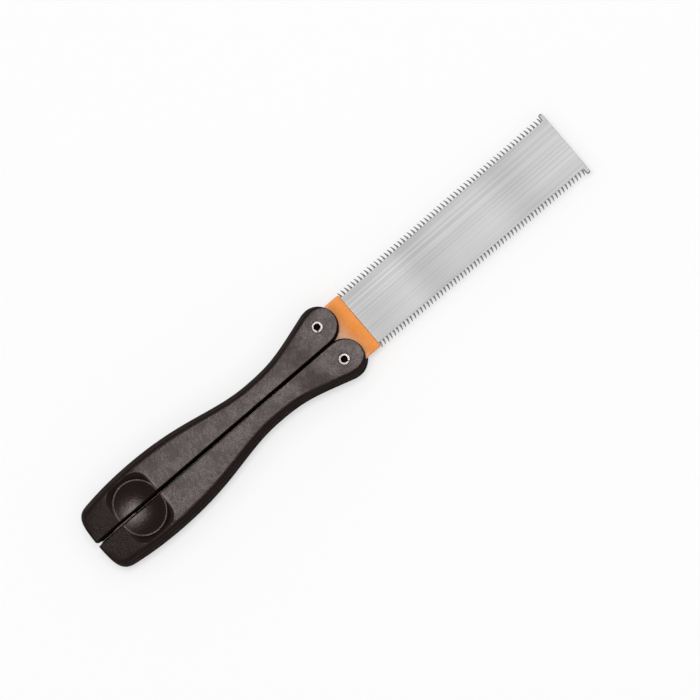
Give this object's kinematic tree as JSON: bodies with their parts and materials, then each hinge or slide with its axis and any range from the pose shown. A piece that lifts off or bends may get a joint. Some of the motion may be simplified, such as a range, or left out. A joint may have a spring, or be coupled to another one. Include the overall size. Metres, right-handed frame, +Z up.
{
  "type": "flush cut saw",
  "caption": "Folding flush cut saw: a thin steel blade toothed on both edges in an orange hub, with a split moulded handle that swings round to cover the teeth.",
  "frame": {"origin": "middle of the open saw's length and width, at the underside of the handle", "axes": "+X along the saw to the blade's tip, +Y across the blade to the upper handle half, +Z up out of the blade's face"},
  "size_m": [0.254, 0.0342, 0.0127],
  "materials": {
    "blade_steel": "brushed lengthwise",
    "hub_plastic": "moulded, satin",
    "handle_plastic": "moulded glass-filled nylon, fine mottled grain",
    "pin_steel": "plain rolled spring steel"
  },
  "bodies": {
    "blade_and_hub": {"blade": "blade_steel", "blade_hub": "hub_plastic", "upper_pivot_pin": "pin_steel", "lower_pivot_pin": "pin_steel"},
    "upper_half": {"upper_handle_half": "handle_plastic"},
    "lower_half": {"lower_handle_half": "handle_plastic"}
  },
  "joints": [
    {"name": "upper_half_fold", "type": "hinge", "parent": "blade_and_hub", "child": "upper_half", "pos_m": [0.0004, 0.00865, 0.00635], "axis": [0, 0, -1], "range_deg": [0, 180]},
    {"name": "lower_half_fold", "type": "hinge", "parent": "blade_and_hub", "child": "lower_half", "pos_m": [0.0004, -0.00865, 0.00635], "axis": [0, 0, 1], "range_deg": [0, 180]}
  ]
}
